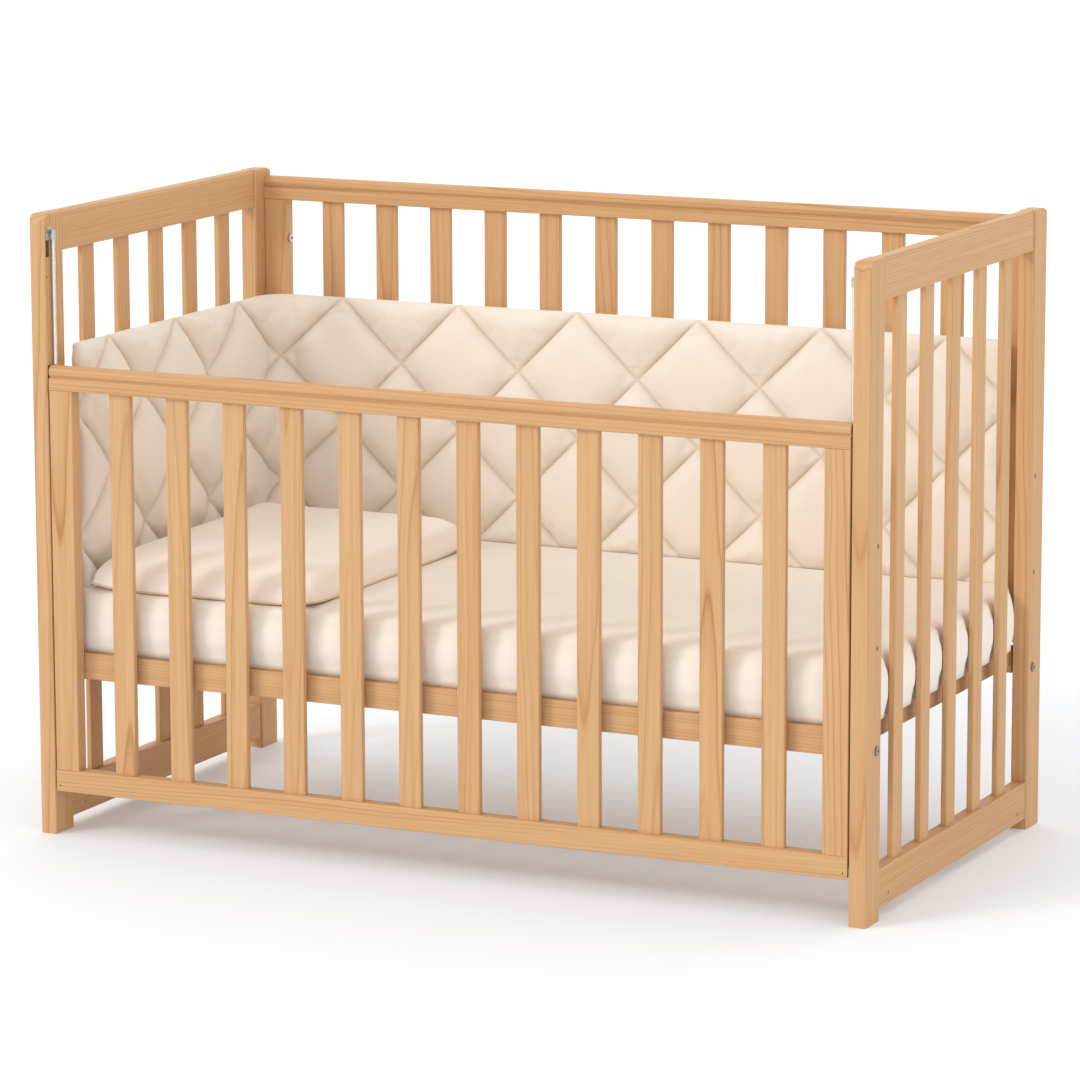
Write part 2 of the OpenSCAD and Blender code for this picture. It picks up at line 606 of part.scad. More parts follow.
for (s = SIDES) {
    sided(s[1]) post_front();
    sided(s[1]) post_back();
    sided(s[1]) end_top_rail();
    sided(s[1]) end_low_rail();
    for (i = [1 : end_slats])
        sided(s[1]) end_slat(END_SLAT_Y[i - 1]);
    sided(s[1]) drop_stile();
    sided(s[1]) back_stile();
    sided(s[1]) latch_bolt();
    sided(s[1]) latch_knob();
}
drop_top_rail();  // drop_side_top_rail
drop_low_rail();  // drop_side_low_rail
for (i = [1 : panel_slats])
    drop_slat(PANEL_SLAT_X[i - 1]);
back_top_rail();  // back_panel_top_rail
back_low_rail();  // back_panel_low_rail
back_slats();  // back_panel_slats
base_rail();  // base_rail_front
mirror([0, 1, 0]) base_rail();  // base_rail_back
base_end_rails();
base_slats();
guide_rods();
rod_brackets();
bracket_screws();
strike_plates();
latch_springs();
base_bolts();
base_barrel_nuts();
back_panel_bolts();
rail_dowels();
rail_pins();
mattress();
bumper();
pillow();
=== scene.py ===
"""Looks for the baby crib: lacquered hardwood, zinc-plated steel, and soft cream bedding.

Everything is in metres in the part's own frame: origin on the floor below the middle,
+X along the length, -Y the drop side, +Z up.
"""
import json
import math
import random

import bmesh
import bpy
import numpy as np
from mathutils import Matrix, Vector
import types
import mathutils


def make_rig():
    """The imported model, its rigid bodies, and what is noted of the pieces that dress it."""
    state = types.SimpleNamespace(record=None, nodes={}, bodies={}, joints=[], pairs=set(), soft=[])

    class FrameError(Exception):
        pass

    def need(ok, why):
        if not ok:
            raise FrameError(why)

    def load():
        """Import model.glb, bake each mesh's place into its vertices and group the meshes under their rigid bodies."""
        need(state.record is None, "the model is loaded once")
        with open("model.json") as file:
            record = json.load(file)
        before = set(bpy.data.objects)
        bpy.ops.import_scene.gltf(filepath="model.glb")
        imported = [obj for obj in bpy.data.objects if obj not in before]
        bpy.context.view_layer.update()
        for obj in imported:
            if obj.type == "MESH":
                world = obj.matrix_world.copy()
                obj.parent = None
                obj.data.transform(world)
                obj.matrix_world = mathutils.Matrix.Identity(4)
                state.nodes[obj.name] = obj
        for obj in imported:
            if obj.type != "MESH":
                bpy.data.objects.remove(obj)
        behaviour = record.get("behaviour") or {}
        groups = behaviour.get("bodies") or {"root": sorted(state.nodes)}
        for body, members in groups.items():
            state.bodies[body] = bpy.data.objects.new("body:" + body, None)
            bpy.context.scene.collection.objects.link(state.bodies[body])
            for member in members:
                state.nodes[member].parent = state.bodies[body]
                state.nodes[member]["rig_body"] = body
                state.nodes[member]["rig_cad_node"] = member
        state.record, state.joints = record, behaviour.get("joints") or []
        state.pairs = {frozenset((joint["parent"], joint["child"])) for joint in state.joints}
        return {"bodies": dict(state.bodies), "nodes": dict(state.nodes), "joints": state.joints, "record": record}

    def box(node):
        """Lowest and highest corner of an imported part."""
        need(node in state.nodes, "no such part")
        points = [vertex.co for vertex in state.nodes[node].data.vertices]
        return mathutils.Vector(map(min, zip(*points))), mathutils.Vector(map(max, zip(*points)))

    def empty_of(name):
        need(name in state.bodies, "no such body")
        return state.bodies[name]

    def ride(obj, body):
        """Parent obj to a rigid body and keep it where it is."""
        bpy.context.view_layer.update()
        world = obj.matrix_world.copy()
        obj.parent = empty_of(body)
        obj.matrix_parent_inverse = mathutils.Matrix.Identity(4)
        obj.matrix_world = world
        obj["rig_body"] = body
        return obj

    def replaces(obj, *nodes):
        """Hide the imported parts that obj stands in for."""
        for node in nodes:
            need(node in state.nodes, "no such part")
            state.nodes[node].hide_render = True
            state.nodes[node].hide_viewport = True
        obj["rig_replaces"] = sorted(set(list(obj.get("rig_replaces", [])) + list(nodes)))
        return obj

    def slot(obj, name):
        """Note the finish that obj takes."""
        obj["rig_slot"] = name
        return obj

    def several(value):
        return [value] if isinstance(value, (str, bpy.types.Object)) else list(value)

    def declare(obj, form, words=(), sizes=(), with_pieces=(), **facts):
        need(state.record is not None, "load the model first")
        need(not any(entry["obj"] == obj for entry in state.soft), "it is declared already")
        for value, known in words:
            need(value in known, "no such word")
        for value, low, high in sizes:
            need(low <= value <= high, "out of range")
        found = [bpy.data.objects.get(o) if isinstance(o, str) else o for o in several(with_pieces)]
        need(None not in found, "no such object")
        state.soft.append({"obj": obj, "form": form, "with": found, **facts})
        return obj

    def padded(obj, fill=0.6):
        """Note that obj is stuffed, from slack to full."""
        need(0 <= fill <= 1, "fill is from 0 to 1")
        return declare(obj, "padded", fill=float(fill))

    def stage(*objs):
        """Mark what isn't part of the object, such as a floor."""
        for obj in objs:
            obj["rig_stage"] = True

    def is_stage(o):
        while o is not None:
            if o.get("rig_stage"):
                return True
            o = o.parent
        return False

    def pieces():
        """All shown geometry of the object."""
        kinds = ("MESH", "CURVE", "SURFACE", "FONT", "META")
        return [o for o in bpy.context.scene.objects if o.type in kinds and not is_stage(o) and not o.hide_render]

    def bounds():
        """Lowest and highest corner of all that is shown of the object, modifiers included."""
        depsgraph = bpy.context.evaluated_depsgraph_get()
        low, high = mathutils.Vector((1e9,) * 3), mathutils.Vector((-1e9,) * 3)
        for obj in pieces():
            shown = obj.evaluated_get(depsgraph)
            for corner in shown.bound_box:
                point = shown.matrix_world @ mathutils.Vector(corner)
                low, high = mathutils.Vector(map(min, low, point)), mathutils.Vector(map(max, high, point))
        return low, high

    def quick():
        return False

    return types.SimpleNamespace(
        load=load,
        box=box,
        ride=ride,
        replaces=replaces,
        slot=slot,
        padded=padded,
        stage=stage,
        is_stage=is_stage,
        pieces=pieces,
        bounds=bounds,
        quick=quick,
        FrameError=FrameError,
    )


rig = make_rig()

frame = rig.load()
CAD_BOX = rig.bounds()
MM = 0.001
NODES = frame["nodes"]


# ---- Camera, light and floor ----

CAMERA_PLACE = (3.1133, -6.4739, 1.7557)
CAMERA_YAW, CAMERA_PITCH, CAMERA_ROLL = 25.69, -10.51, -0.15    # degrees
CAMERA_LENS, CAMERA_SENSOR = 170.02, 36                         # millimetres


def add_camera():
    """A long lens at eye height, turned towards the drop side and the right end."""
    yaw, pitch, roll = (math.radians(angle) for angle in (CAMERA_YAW, CAMERA_PITCH, CAMERA_ROLL))
    forward = Vector((-math.sin(yaw) * math.cos(pitch), math.cos(yaw) * math.cos(pitch), math.sin(pitch)))
    level_right = Vector((math.cos(yaw), math.sin(yaw), 0))
    level_up = level_right.cross(forward)
    right = math.cos(roll) * level_right + math.sin(roll) * level_up
    up = math.cos(roll) * level_up - math.sin(roll) * level_right
    camera = bpy.data.objects.new("camera", bpy.data.cameras.new("camera"))
    camera.data.lens = CAMERA_LENS
    camera.data.sensor_width = CAMERA_SENSOR
    x, y, z = CAMERA_PLACE
    camera.matrix_world = Matrix((
        (right.x, up.x, -forward.x, x),
        (right.y, up.y, -forward.y, y),
        (right.z, up.z, -forward.z, z),
        (0, 0, 0, 1)))
    bpy.context.scene.collection.objects.link(camera)
    bpy.context.scene.camera = camera


def add_sun(name, direction, strength, angle):
    """A distant light that shines along direction, with shadows softened by its angle in degrees."""
    sun = bpy.data.objects.new(name, bpy.data.lights.new(name, "SUN"))
    sun.data.energy = strength
    sun.data.angle = math.radians(angle)
    sun.rotation_euler = Vector(direction).to_track_quat("-Z", "Y").to_euler()
    bpy.context.scene.collection.objects.link(sun)


def add_studio():
    """A bright white cove: light from all round, stronger from the front and back, and a soft key."""
    all_round, from_back, from_front = 0.86, 0.62, 0.35
    scene = bpy.context.scene
    scene.view_settings.view_transform = "Standard"
    world = bpy.data.worlds.new("studio")
    world.use_nodes = True
    tree = world.node_tree
    background = tree.nodes["Background"]
    background.inputs["Color"].default_value = (1, 0.985, 0.965, 1)
    coordinates = tree.nodes.new("ShaderNodeTexCoord")
    split = tree.nodes.new("ShaderNodeSeparateXYZ")
    tree.links.new(coordinates.outputs["Generated"], split.inputs[0])
    along_y = Field(tree, split.outputs[1])
    backward, forward = along_y.math("MAXIMUM", 0.0), along_y.math("MINIMUM", 0.0)
    strength = backward * from_back - forward * from_front + all_round
    tree.links.new(strength.socket, background.inputs["Strength"])
    scene.world = world
    add_sun("key_light", (0.56, 0.74, -0.62), strength=0.85, angle=18)
    add_sun("fill_light", (-0.80, 0.40, -0.50), strength=0.12, angle=50)

    bpy.ops.mesh.primitive_plane_add(size=90, location=(0, 0, 0))
    floor = bpy.context.object
    floor.name = "floor"
    # The little light of its own keeps the floor's shadows pale.
    white = bpy.data.materials.new("floor_white")
    white.use_nodes = True
    shader = white.node_tree.nodes["Principled BSDF"]
    shader.inputs["Base Color"].default_value = (0.80, 0.83, 0.87, 1)
    shader.inputs["Roughness"].default_value = 0.9
    shader.inputs["Emission Color"].default_value = (0.93, 0.97, 1, 1)
    shader.inputs["Emission Strength"].default_value = 0.09
    floor.data.materials.append(white)
    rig.stage(floor)


# ---- Shader helper: arithmetic on sockets ----

class Field:
    """A node socket that can be added, multiplied and so on. Each operation makes a Math node."""

    def __init__(self, tree, socket):
        self.tree, self.socket = tree, socket

    def math(self, operation, *others):
        node = self.tree.nodes.new("ShaderNodeMath")
        node.operation = operation
        for i, value in enumerate((self, *others)):
            if isinstance(value, Field):
                self.tree.links.new(value.socket, node.inputs[i])
            else:
                node.inputs[i].default_value = value
        return Field(self.tree, node.outputs[0])

    def __add__(self, other):
        return self.math("ADD", other)

    def __sub__(self, other):
        return self.math("SUBTRACT", other)

    def __mul__(self, other):
        return self.math("MULTIPLY", other)

    def __truediv__(self, other):
        return self.math("DIVIDE", other)

    def sqrt(self):
        return self.math("SQRT")

    def fract(self):
        return self.math("FRACT")

    def floor(self):
        return self.math("FLOOR")

    def sin(self):
        return self.math("SINE")


def shader_tree(name):
    """A new material, its node tree and its shader."""
    material = bpy.data.materials.new(name)
    material.use_nodes = True
    tree = material.node_tree
    return material, tree, tree.nodes["Principled BSDF"]


def position(tree):
    """The point's x, y and z in the part's frame, as fields."""
    coordinates = tree.nodes.new("ShaderNodeTexCoord")
    split = tree.nodes.new("ShaderNodeSeparateXYZ")
    tree.links.new(coordinates.outputs["Object"], split.inputs[0])
    return [Field(tree, split.outputs[i]) for i in range(3)]


def noise(tree, x, y, z, detail=2.0, roughness=0.5):
    """Noise at the point (x, y, z), which are fields, from 0 to 1."""
    join = tree.nodes.new("ShaderNodeCombineXYZ")
    for i, value in enumerate((x, y, z)):
        tree.links.new(value.socket, join.inputs[i])
    node = tree.nodes.new("ShaderNodeTexNoise")
    node.inputs["Scale"].default_value = 1.0
    node.inputs["Detail"].default_value = detail
    node.inputs["Roughness"].default_value = roughness
    tree.links.new(join.outputs[0], node.inputs["Vector"])
    return Field(tree, node.outputs[0])


def ramp(tree, factor, stops):
    """A colour or grey ramp of (place, colour) stops. Returns its output socket."""
    node = tree.nodes.new("ShaderNodeValToRGB")
    elements = node.color_ramp.elements
    for i, (place, colour) in enumerate(stops):
        element = elements[i] if i < 2 else elements.new(place)
        element.position = place
        element.color = (*colour, 1)
    tree.links.new(factor.socket, node.inputs[0])
    return node.outputs[0]


def ramp_value(tree, factor, from_low, from_high, to_low, to_high):
    """The factor stretched from one range to another, and held at its ends."""
    node = tree.nodes.new("ShaderNodeMapRange")
    for i, value in enumerate((from_low, from_high, to_low, to_high)):
        node.inputs[i + 1].default_value = value
    tree.links.new(factor.socket, node.inputs[0])
    return Field(tree, node.outputs[0])


def mix_colour(tree, factor, a, b, blend="MIX"):
    """Mixes two colours, each a socket or a plain tuple. Returns the output socket."""
    node = tree.nodes.new("ShaderNodeMix")
    node.data_type = "RGBA"
    node.blend_type = blend
    for socket, value in ((node.inputs[0], factor), (node.inputs[6], a), (node.inputs[7], b)):
        if isinstance(value, Field):
            tree.links.new(value.socket, socket)
        elif isinstance(value, bpy.types.NodeSocket):
            tree.links.new(value, socket)
        elif isinstance(value, tuple):
            socket.default_value = (*value, 1)
        else:
            socket.default_value = value
    return node.outputs[2]


def add_bump(tree, shader, height, distance, strength):
    """Relief on the shader: height, from 0 to 1, stands for distance in metres."""
    node = tree.nodes.new("ShaderNodeBump")
    node.inputs["Distance"].default_value = distance
    node.inputs["Strength"].default_value = strength
    tree.links.new(height.socket, node.inputs["Height"])
    tree.links.new(node.outputs[0], shader.inputs["Normal"])


def linear(red, green, blue):
    """An sRGB colour, 0 to 255 and not near black, as linear values."""
    return tuple(((c / 255 + 0.055) / 1.055) ** 2.4 for c in (red, green, blue))


# ---- Wood ----

def wood_material(name, grain_axis, centre, seed, repeat=None):
    """Lacquered hardwood, sawn near the pith so that its rings run out in long arches along grain_axis.

    centre is the middle of the bar. Where several bars share one node, repeat is (axis, pitch, count):
    each bar gets its own piece of the tree.
    """
    next_piece, next_angle, next_pith = 1.37, 2.399, 0.026      # steps from one bar of a row to the next
    rng = random.Random(seed)
    material, tree, shader = shader_tree(name)
    xyz = position(tree)
    across = [i for i in range(3) if i != grain_axis]
    u, v = (xyz[i] - centre[i] for i in across)
    along = xyz[grain_axis] + rng.uniform(-40, 40)
    shift = None
    if repeat:
        axis, pitch, count = repeat
        place = (xyz[axis] - centre[axis]) / pitch + count / 2
        shift = place.floor()
        local = (place.fract() - 0.5) * pitch
        u, v = (local if i == axis else w for i, w in zip(across, (u, v)))
        along = along + shift * next_piece
    pith_u, pith_v = rng.uniform(-0.030, 0.030), rng.choice((-1, 1)) * rng.uniform(0.030, 0.090)
    
    # The rings: distance from the pith, which wanders and tapers along the trunk, counted in years.
    sway = noise(tree, u * 6, v * 6, along * 2.2)
    ripple = noise(tree, u * 60, v * 60, along * 5)
    wobble = (sway - 0.5) * 0.034 + (ripple - 0.5) * 0.0030
    du = u + ((shift * next_angle).sin() * next_pith + pith_u if repeat else pith_u) + wobble
    dv = v + pith_v
    taper = rng.choice((-1, 1)) * rng.uniform(0.006, 0.016)
    radius = (du * du + dv * dv).sqrt() + along * taper
    year = radius / rng.uniform(0.0036, 0.0064)
    ring = year.fract()
    strength = noise(tree, year.floor() * 0.37, year.floor() * 0.61 + seed, along * 0.6, detail=0.0)

    # The colours: pale early wood, a thin dark line that ends each year, and streaks and fibres on both.
    fibre = noise(tree, u * 1500, v * 1500, along * 22, detail=3.0, roughness=0.6)
    streak = noise(tree, u * 160, v * 160, along * 2.5, detail=3.0, roughness=0.6)
    tone = rng.uniform(-1, 1)
    pale = linear(210 + 2 * tone, 168 + 3 * tone, 123 + 3 * tone)
    late = linear(178 + 4 * tone, 127 + 5 * tone, 79 + 5 * tone)
    line = ramp(tree, ring, [(0.0, (0.30,) * 3), (1.0, (0.35,) * 3), (0.10, (0, 0, 0)), (0.62, (0, 0, 0)),
                             (0.88, (0.35,) * 3), (0.96, (1, 1, 1))])
    line = Field(tree, line) * ramp_value(tree, strength, 0.34, 0.66, 0.22, 0.85)
    rings = mix_colour(tree, line, pale, late)
    shade = ramp(tree, streak, [(0.30, (0.88, 0.83, 0.78)), (0.70, (1, 1, 1))])
    base = mix_colour(tree, 0.8, rings, shade, "MULTIPLY")
    fine = ramp(tree, fibre, [(0.28, (0.84, 0.79, 0.73)), (0.60, (1, 1, 1))])
    base = mix_colour(tree, 0.55, base, fine, "MULTIPLY")
    tree.links.new(base, shader.inputs["Base Color"])
    gloss = fibre * -0.10 + 0.56
    tree.links.new(gloss.socket, shader.inputs["Roughness"])
    shader.inputs["Specular IOR Level"].default_value = 0.16
    add_bump(tree, shader, fibre * 0.7 + ring * 0.3, 0.00010, 0.5)
    return material


def dress_wood():
    """Each wooden node gets its own piece of timber, with the grain along its length."""
    slots = {row["node"]: row["material_slot"] for row in frame["record"]["subparts"]}
    wooden = sorted(n for n, slot in slots.items() if slot in ("wood", "knob"))
    # Nodes that hold a row of bars: the grain's axis, the row's axis, the number and width of the bars.
    bar_rows = {
        "back_panel_slats": (2, 0, 12, 34 * MM),
        "base_slats": (1, 0, 10, 70 * MM),
        "base_end_rails": (1, 0, 2, 20 * MM),
        "rail_dowels": (1, 0, 2, 8 * MM),
    }
    for index, name in enumerate(wooden):
        low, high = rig.box(name)
        size = high - low
        centre = (low + high) / 2
        repeat = None
        grain = max(range(3), key=lambda i: size[i])
        if name in bar_rows:
            grain, axis, count, bar = bar_rows[name]
            repeat = (axis, (size[axis] - bar) / (count - 1), count)
        material = wood_material("wood_" + name, grain, centre, 100 + index, repeat)
        paint(NODES[name], material)


def paint(piece, material):
    """Gives the whole piece one material."""
    piece.data.materials.clear()
    piece.data.materials.append(material)


# ---- Steel ----

def steel_material(name, grain_axis, tint, rough):
    """Zinc-plated steel, faintly drawn along grain_axis."""
    material, tree, shader = shader_tree(name)
    xyz = position(tree)
    stretched = [p * (8 if i == grain_axis else 2600) for i, p in enumerate(xyz)]
    drawn = noise(tree, *stretched)
    cloud = noise(tree, *(p * 140 for p in xyz), detail=3.0)
    base = ramp(tree, cloud, [(0.3, tuple(c * 0.86 for c in tint)), (0.7, tint)])
    tree.links.new(base, shader.inputs["Base Color"])
    shader.inputs["Metallic"].default_value = 1.0
    tree.links.new((drawn * 0.16 + rough).socket, shader.inputs["Roughness"])
    add_bump(tree, shader, drawn, 0.00004, 0.4)
    return material


def dress_steel():
    """Polished guide rods, plated fittings, and duller screws and bolts."""
    bright = steel_material("steel_rod", 2, (0.80, 0.80, 0.79), 0.16)
    plated = steel_material("steel_plated", 0, (0.60, 0.60, 0.58), 0.30)
    dull = steel_material("steel_dull", 0, (0.34, 0.34, 0.33), 0.34)
    paint(NODES["guide_rods"], bright)
    for name in ("rod_brackets", "strike_plates", "back_panel_bolts", "latch_bolt_left", "latch_bolt_right",
                 "latch_springs"):
        paint(NODES[name], plated)
    for name in ("bracket_screws", "base_bolts", "base_barrel_nuts", "rail_pins"):
        paint(NODES[name], dull)


# ---- Fabric ----

def fabric_material(name, colour, seams=False):
    """Soft woven cotton: crossed threads, a slubby unevenness and a little sheen.

    When asked, painted shade darkens and warms the cloth where the mesh's "seam" values fall to 0, in the creases
    along the stitches.
    """
    thread = 0.0007                             # from one thread to the next but one
    material, tree, shader = shader_tree(name)
    xyz = position(tree)
    turns = 2 * math.pi / thread
    waves = [(p * turns).sin() for p in xyz]
    weave = waves[0] * waves[1] + waves[1] * waves[2] + waves[2] * waves[0]
    slub = noise(tree, *(p * 900 for p in xyz), detail=3.0, roughness=0.6)
    cloud = noise(tree, *(p * 9 for p in xyz))
    pale = linear(*colour)
    low = tuple(c * 0.955 for c in pale)
    base = ramp(tree, slub * 0.5 + cloud * 0.5, [(0.35, low), (0.62, pale)])
    if seams:
        # Painted shade: the cloth is darker and warmer towards the stitched lines, where shade falls in the quilting's
        # creases.
        attribute = tree.nodes.new("ShaderNodeAttribute")
        attribute.attribute_name = "seam"
        stops = [(0.0, (0.86, 0.82, 0.76)), (1.0, (1, 1, 1)), (0.4, (0.97, 0.96, 0.94))]
        crease = ramp(tree, Field(tree, attribute.outputs["Fac"]), stops)
        base = mix_colour(tree, 1.0, base, crease, "MULTIPLY")
    tree.links.new(base, shader.inputs["Base Color"])
    shader.inputs["Roughness"].default_value = 0.92
    shader.inputs["Specular IOR Level"].default_value = 0.2
    shader.inputs["Sheen Weight"].default_value = 0.25
    shader.inputs["Sheen Roughness"].default_value = 0.5
    add_bump(tree, shader, weave * 0.35 + slub, 0.00018, 0.55)
    return material


# ---- Soft pieces ----

def new_piece(name, vertices, faces, material):
    """A mesh object with its faces turned outwards."""
    mesh = bpy.data.meshes.new(name)
    mesh.from_pydata([tuple(v) for v in vertices], [], faces)
    mesh.update()
    piece = bpy.data.objects.new(name, mesh)
    bpy.context.scene.collection.objects.link(piece)
    mesh.materials.append(material)
    b = bmesh.new()
    b.from_mesh(mesh)
    bmesh.ops.recalc_face_normals(b, faces=b.faces)
    b.to_mesh(mesh)
    b.free()
    return piece


def points_of(piece):
    """The piece's points, as rows of x, y and z."""
    co = np.empty(len(piece.data.vertices) * 3)
    piece.data.vertices.foreach_get("co", co)
    return co.reshape(-1, 3)


def set_points(piece, co):
    """Moves the piece's points to the rows of co."""
    piece.data.vertices.foreach_set("co", np.ascontiguousarray(co, dtype=np.float32).ravel())
    piece.data.update()


def puff(piece, pressure, frames, pinned=(), *, cap, bending, shrink=0.0):
    """Inflates a closed cloth shape. Pinned points stay put and no point moves further than cap."""
    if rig.quick():
        return
    stiffness = 12.0
    before = points_of(piece).copy()
    cloth = piece.modifiers.new("cloth", "CLOTH")
    settings = cloth.settings
    settings.quality = 6
    settings.mass = 0.25
    settings.use_pressure = True
    settings.uniform_pressure_force = pressure
    settings.tension_stiffness = settings.compression_stiffness = stiffness
    settings.shear_stiffness = stiffness / 2
    settings.bending_stiffness = bending
    settings.shrink_min = -shrink
    settings.effector_weights.gravity = 0
    if len(pinned):
        group = piece.vertex_groups.new(name="pinned")
        group.add([int(i) for i in pinned], 1.0, "REPLACE")
        settings.vertex_group_mass = "pinned"
    cloth.point_cache.frame_start = 1
    cloth.point_cache.frame_end = frames
    scene = bpy.context.scene
    for number in range(1, frames + 1):
        scene.frame_set(number)
    graph = bpy.context.evaluated_depsgraph_get()
    shaped = piece.evaluated_get(graph)
    after = np.empty(len(before) * 3)
    shaped.data.vertices.foreach_get("co", after)
    after = after.reshape(-1, 3)
    piece.modifiers.remove(cloth)
    scene.frame_set(1)
    move = after - before
    length = np.linalg.norm(move, axis=1, keepdims=True)
    move *= np.minimum(1, cap / np.maximum(length, 1e-9))
    set_points(piece, before + move)


def finish_soft(piece):
    """One smooth subdivision, applied, and smooth shading."""
    modifier = piece.modifiers.new("smooth", "SUBSURF")
    modifier.levels = modifier.render_levels = 1
    graph = bpy.context.evaluated_depsgraph_get()
    mesh = bpy.data.meshes.new_from_object(piece.evaluated_get(graph))
    piece.modifiers.clear()
    old = piece.data
    piece.data = mesh
    mesh.name = piece.name
    bpy.data.meshes.remove(old)
    mesh.polygons.foreach_set("use_smooth", [True] * len(mesh.polygons))


def edge_loop(rows, columns):
    """The (i, j) of the grid points round a sheet's edge, in order."""
    loop = [(i, 0) for i in range(columns)] + [(columns, j) for j in range(rows)]
    return loop + [(i, rows) for i in range(columns, 0, -1)] + [(0, j) for j in range(rows, 0, -1)]


def two_sheets(rows, columns, place, rim=True):
    """Points and faces of a closed pad made of two facing grids.

    place(i, j, side) gives a point, with i over columns and j over rows. With rim, the sheets stay
    apart and a strip joins their edges; without it, they share their edge points.
    """
    points, number = [], {}
    for side in (1, -1):
        for i in range(columns + 1):
            for j in range(rows + 1):
                edge = i in (0, columns) or j in (0, rows)
                if not rim and edge and side < 0:
                    number[i, j, side] = number[i, j, 1]
                    continue
                number[i, j, side] = len(points)
                points.append(place(i, j, side))
    faces = []
    for side in (1, -1):
        for i in range(columns):
            for j in range(rows):
                quad = [number[i + di, j + dj, side] for di, dj in ((0, 0), (1, 0), (1, 1), (0, 1))]
                faces.append(quad if side > 0 else quad[::-1])
    if rim:
        loop = edge_loop(rows, columns)
        for (a, b), (c, d) in zip(loop, loop[1:] + loop[:1]):
            faces.append([number[a, b, 1], number[a, b, -1], number[c, d, -1], number[c, d, 1]])
    return np.array(points), faces, number


def make_bumper(material):
    """The quilted pad: two sheets stitched together along a diamond lattice and stuffed."""
    low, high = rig.box("bumper")
    thickness = 28 * MM
    mid_x, mid_y = low.x + thickness / 2, high.y - thickness / 2
    radius = 46 * MM
    cells = 16                                  # grid cells in half a diamond, each way
    period = 2 * cells
    rise = 5.96 * MM                            # height of a cell
    rows = round((high.z - low.z) / rise)       # the lowest row is tucked in behind the mattress's edge
    end_run = mid_y - radius - low.y
    bend = radius * math.pi / 2
    whole = end_run + bend + high.x - (mid_x + radius)
    first_vertex = 15                           # cells from the front end to the first seam crossing
    end_pitch, corner_pitch, back_pitch = 191.7 * MM, 213 * MM, 195.7 * MM
    corner_from = first_vertex + 2 * period     # the last crossing before the corner
    corner_to = corner_from + period
    back_from = (first_vertex / period + 2) * end_pitch + corner_pitch
    columns = corner_to + round((whole - back_from) / back_pitch * period)

    def distance_at(i):
        """Distance along the pad of a grid column. The diamonds are a little wider round the corner."""
        return float(np.interp(i, (0, corner_from, corner_to, columns),
                               (0, back_from - corner_pitch, back_from, whole)))

    def spot(distance):
        """Point and inward normal, in plan, at a distance along the pad."""
        if distance < end_run:
            return (mid_x, low.y + distance), (1, 0)
        if distance < end_run + bend:
            a = math.pi - (distance - end_run) / radius
            c, s = math.cos(a), math.sin(a)
            return (mid_x + radius + radius * c, mid_y - radius + radius * s), (-c, -s)
        return (mid_x + radius + distance - end_run - bend, mid_y), (0, -1)

    def seam_distances(i, j):
        """Cells to the nearest stitched line of each direction."""
        a = (i - first_vertex + rows - j) % period
        b = (i - first_vertex - rows + j) % period
        return min(a, period - a), min(b, period - b)

    def dome(distance):
        """Height of the stuffing across a channel: steep beside the stitches, flat in the middle."""
        t = 1 - distance / cells
        return (1 - t ** 2.4) ** 0.46

    def place(i, j, side):
        distance = distance_at(i)
        (x, y), (nx, ny) = spot(distance)
        da, db = seam_distances(i, j)
        edge = min(i, columns - i, j, rows - j)
        # The inner face is the fuller one, and fullest along the end.
        past_end = min(1, max(0, (distance - end_run) / bend))
        deep = (21 - 5 * past_end) * MM if side > 0 else 11 * MM
        full = 0.7 * MM + deep * dome(da) * dome(db)
        # The pad's border keeps some stuffing between the stitches, and its outermost cells round off.
        rounding = {0: 0.45, 1: 0.78, 2: 0.93}.get(edge, 1)
        stuffed = max(full, 5 * MM if edge < 2 else 0) * rounding
        return x + nx * side * stuffed, y + ny * side * stuffed, high.z - (rows - j) * rise

    points, faces, number = two_sheets(rows, columns, place)
    piece = new_piece("quilted_bumper", points, faces, material)
    # The seam values, 0 on the stitches, set where the material paints shade into the creases.
    seam = piece.data.attributes.new("seam", "FLOAT", "POINT")
    for (i, j, side), n in number.items():
        seam.data[n].value = min(1.0, min(seam_distances(i, j)) / 2)
    pinned = {n for (i, j, side), n in number.items()
              if 0 in seam_distances(i, j) or i in (0, columns) or j in (0, rows)}
    puff(piece, 4.5, 10, sorted(pinned), cap=0.004, shrink=0.03, bending=0.02)
    co = points_of(piece)
    co[:, 0] = np.maximum(co[:, 0], low.x - 3 * MM)
    co[:, 1] = np.minimum(co[:, 1], high.y + 2 * MM)
    # The pillow presses the foot of the end run flatter.
    above_pillow = np.clip((co[:, 2] - low.z - 40 * MM) / (50 * MM), 0, 1)
    limit = low.x + thickness + (2 + 16 * above_pillow) * MM
    beside_pillow = (co[:, 0] < low.x + 60 * MM) & (co[:, 1] < mid_y - 2 * radius)
    co[:, 0] = np.where(beside_pillow, np.minimum(co[:, 0], limit), co[:, 0])
    set_points(piece, co)
    stitched = []
    for i, j, side in number:
        for k in (1, -1):
            next_point = (i + 1, j + k, side)
            if next_point in number and on_one_seam(seam_distances(i, j), seam_distances(i + 1, j + k)):
                stitched.append((number[i, j, side], number[next_point]))
    crease_seams(piece, stitched)
    finish_soft(piece)
    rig.replaces(piece, "bumper")
    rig.slot(piece, "quilted_fabric")
    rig.ride(piece, "mattress")
    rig.padded(piece, fill=0.55)


def on_one_seam(a, b):
    """Whether two points, given by their distances to the seams, lie along the same line of stitches."""
    return a[0] == b[0] == 0 or a[1] == b[1] == 0


def crease_seams(piece, pairs):
    """Splits the faces along the given pairs of opposite corners and keeps those edges sharp."""
    b = bmesh.new()
    b.from_mesh(piece.data)
    b.verts.ensure_lookup_table()
    crease = b.edges.layers.float.new("crease_edge")
    for m, n in pairs:
        try:
            made = bmesh.ops.connect_verts(b, verts=[b.verts[m], b.verts[n]])
        except RuntimeError:
            continue
        for edge in made["edges"]:
            edge[crease] = 1.0
    b.to_mesh(piece.data)
    b.free()


